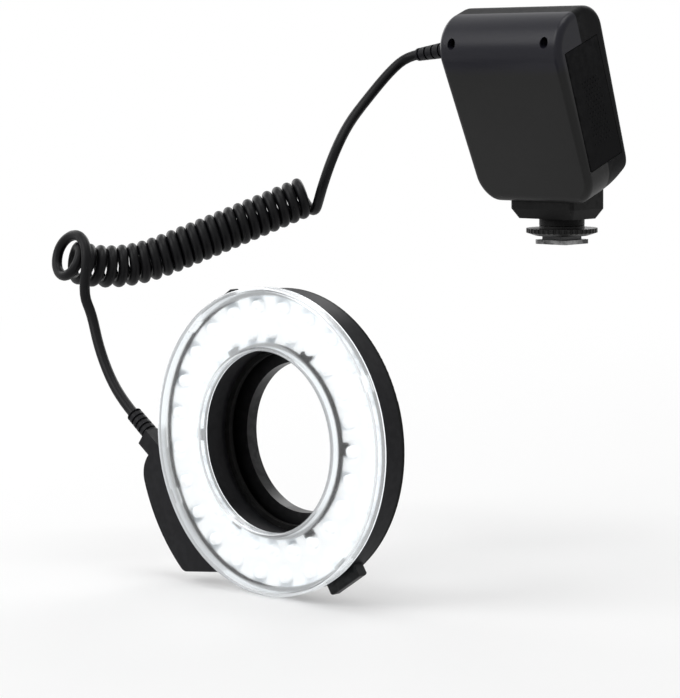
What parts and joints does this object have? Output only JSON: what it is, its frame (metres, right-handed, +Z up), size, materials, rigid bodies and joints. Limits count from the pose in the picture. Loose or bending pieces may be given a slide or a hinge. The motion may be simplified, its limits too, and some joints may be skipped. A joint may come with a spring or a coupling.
{
  "type": "macro ring flash",
  "caption": "Macro ring flash: a lit ring head that clips to a lens adapter ring, joined by a curly cord to a control unit on a camera hot-shoe foot.",
  "frame": {"origin": "middle of the hot-shoe foot's underside", "axes": "+Z up out of the camera shoe, -Y towards the subject along the lens axis, +X to the right as seen from the front"},
  "size_m": [0.2165, 0.215, 0.2477],
  "materials": {
    "black_shell": "moulded, fine grain",
    "ring_plastic": "moulded, fine grain",
    "clear_plastic": "clear and polished",
    "white_plastic": "smooth white",
    "led_resin": "milky resin",
    "board_green": "solder mask",
    "chip_black": "moulded",
    "anodised_black": "black anodised",
    "cord_rubber": "satin",
    "grey_keys": "satin",
    "window": "tinted and polished",
    "display_grey": "liquid crystal grey",
    "tray_plastic": "moulded",
    "cell_jacket": "printed sleeve without words",
    "spring_steel": "drawn wire",
    "contact_metal": "plated",
    "screw_steel": "black oxide",
    "shoe_metal": "machined",
    "wheel_plastic": "satin"
  },
  "bodies": {
    "root": {"unit_front_shell": "black_shell", "unit_rear_shell": "black_shell", "foot_block": "black_shell", "ring_housing": "ring_plastic", "ring_back_cover": "ring_plastic", "clear_cover": "clear_plastic", "reflector": "white_plastic", "leds": "led_resin", "led_board": "board_green", "main_board": "board_green", "board_chips": "chip_black", "tact_switches": "chip_black", "cord_lower": "cord_rubber", "cord_coil": "cord_rubber", "cord_upper": "cord_rubber", "ring_strain_relief": "cord_rubber", "unit_strain_relief": "cord_rubber", "display_window": "window", "display_module": "display_grey", "battery_tray": "tray_plastic", "battery_cells": "cell_jacket", "cell_springs": "spring_steel", "release_spring_left": "spring_steel", "release_spring_right": "spring_steel", "contact_spring": "spring_steel", "door_hinge_pin": "spring_steel", "ring_screws": "screw_steel", "shell_screws": "screw_steel", "board_screws": "screw_steel", "foot_screws": "screw_steel", "hot_shoe_foot": "shoe_metal"},
    "adapter": {"adapter_ring": "anodised_black"},
    "release_left": {"release_button_left": "ring_plastic"},
    "release_right": {"release_button_right": "ring_plastic"},
    "wheel": {"locking_wheel": "wheel_plastic"},
    "contact": {"centre_contact": "contact_metal"},
    "door": {"battery_door": "black_shell", "door_contacts": "contact_metal"},
    "power": {"power_switch": "grey_keys"},
    "mode_key": {"mode_button": "grey_keys"},
    "minus_key": {"minus_button": "grey_keys"},
    "plus_key": {"plus_button": "grey_keys"},
    "light_key": {"light_button": "grey_keys"},
    "test_key": {"test_button": "grey_keys"}
  },
  "joints": [
    {"name": "adapter_turn", "type": "hinge", "parent": "root", "child": "adapter", "pos_m": [0, -0.1984, -0.073], "axis": [0, 1, 0], "continuous": true},
    {"name": "release_left_press", "type": "slide", "parent": "root", "child": "release_left", "axis": [0.5446, 0, -0.8387], "range_m": [0, 0.0022], "stiffness_N_per_m": 600, "springref_m": -0.002, "deforming": ["release_spring_left"]},
    {"name": "release_right_press", "type": "slide", "parent": "root", "child": "release_right", "axis": [-0.5446, 0, 0.8387], "range_m": [0, 0.0022], "stiffness_N_per_m": 600, "springref_m": -0.002, "deforming": ["release_spring_right"]},
    {"name": "wheel_turn", "type": "hinge", "parent": "root", "child": "wheel", "pos_m": [0, 0, 0.006], "axis": [0, 0, 1], "range_deg": [0, 540]},
    {"name": "contact_press", "type": "slide", "parent": "root", "child": "contact", "axis": [0, 0, 1], "range_m": [0, 0.0005], "stiffness_N_per_m": 800, "springref_m": -0.001, "deforming": ["contact_spring"]},
    {"name": "door_open", "type": "hinge", "parent": "root", "child": "door", "pos_m": [0.03376, -0.03074, 0.06155], "axis": [-0.026, 0.3615, -0.932], "range_deg": [0, 95]},
    {"name": "power_slide", "type": "slide", "parent": "root", "child": "power", "axis": [-1, 0, 0], "range_m": [0, 0.004]},
    {"name": "mode_press", "type": "slide", "parent": "root", "child": "mode_key", "axis": [0, -0.9439, -0.3301], "range_m": [0, 0.0006], "stiffness_N_per_m": 900, "springref_m": -0.0008},
    {"name": "minus_press", "type": "slide", "parent": "root", "child": "minus_key", "axis": [0, -0.9439, -0.3301], "range_m": [0, 0.0006], "stiffness_N_per_m": 900, "springref_m": -0.0008},
    {"name": "plus_press", "type": "slide", "parent": "root", "child": "plus_key", "axis": [0, -0.9439, -0.3301], "range_m": [0, 0.0006], "stiffness_N_per_m": 900, "springref_m": -0.0008},
    {"name": "light_press", "type": "slide", "parent": "root", "child": "light_key", "axis": [0, -0.9439, -0.3301], "range_m": [0, 0.0006], "stiffness_N_per_m": 900, "springref_m": -0.0008},
    {"name": "test_press", "type": "slide", "parent": "root", "child": "test_key", "axis": [0, -0.9439, -0.3301], "range_m": [0, 0.0006], "stiffness_N_per_m": 900, "springref_m": -0.0008}
  ]
}
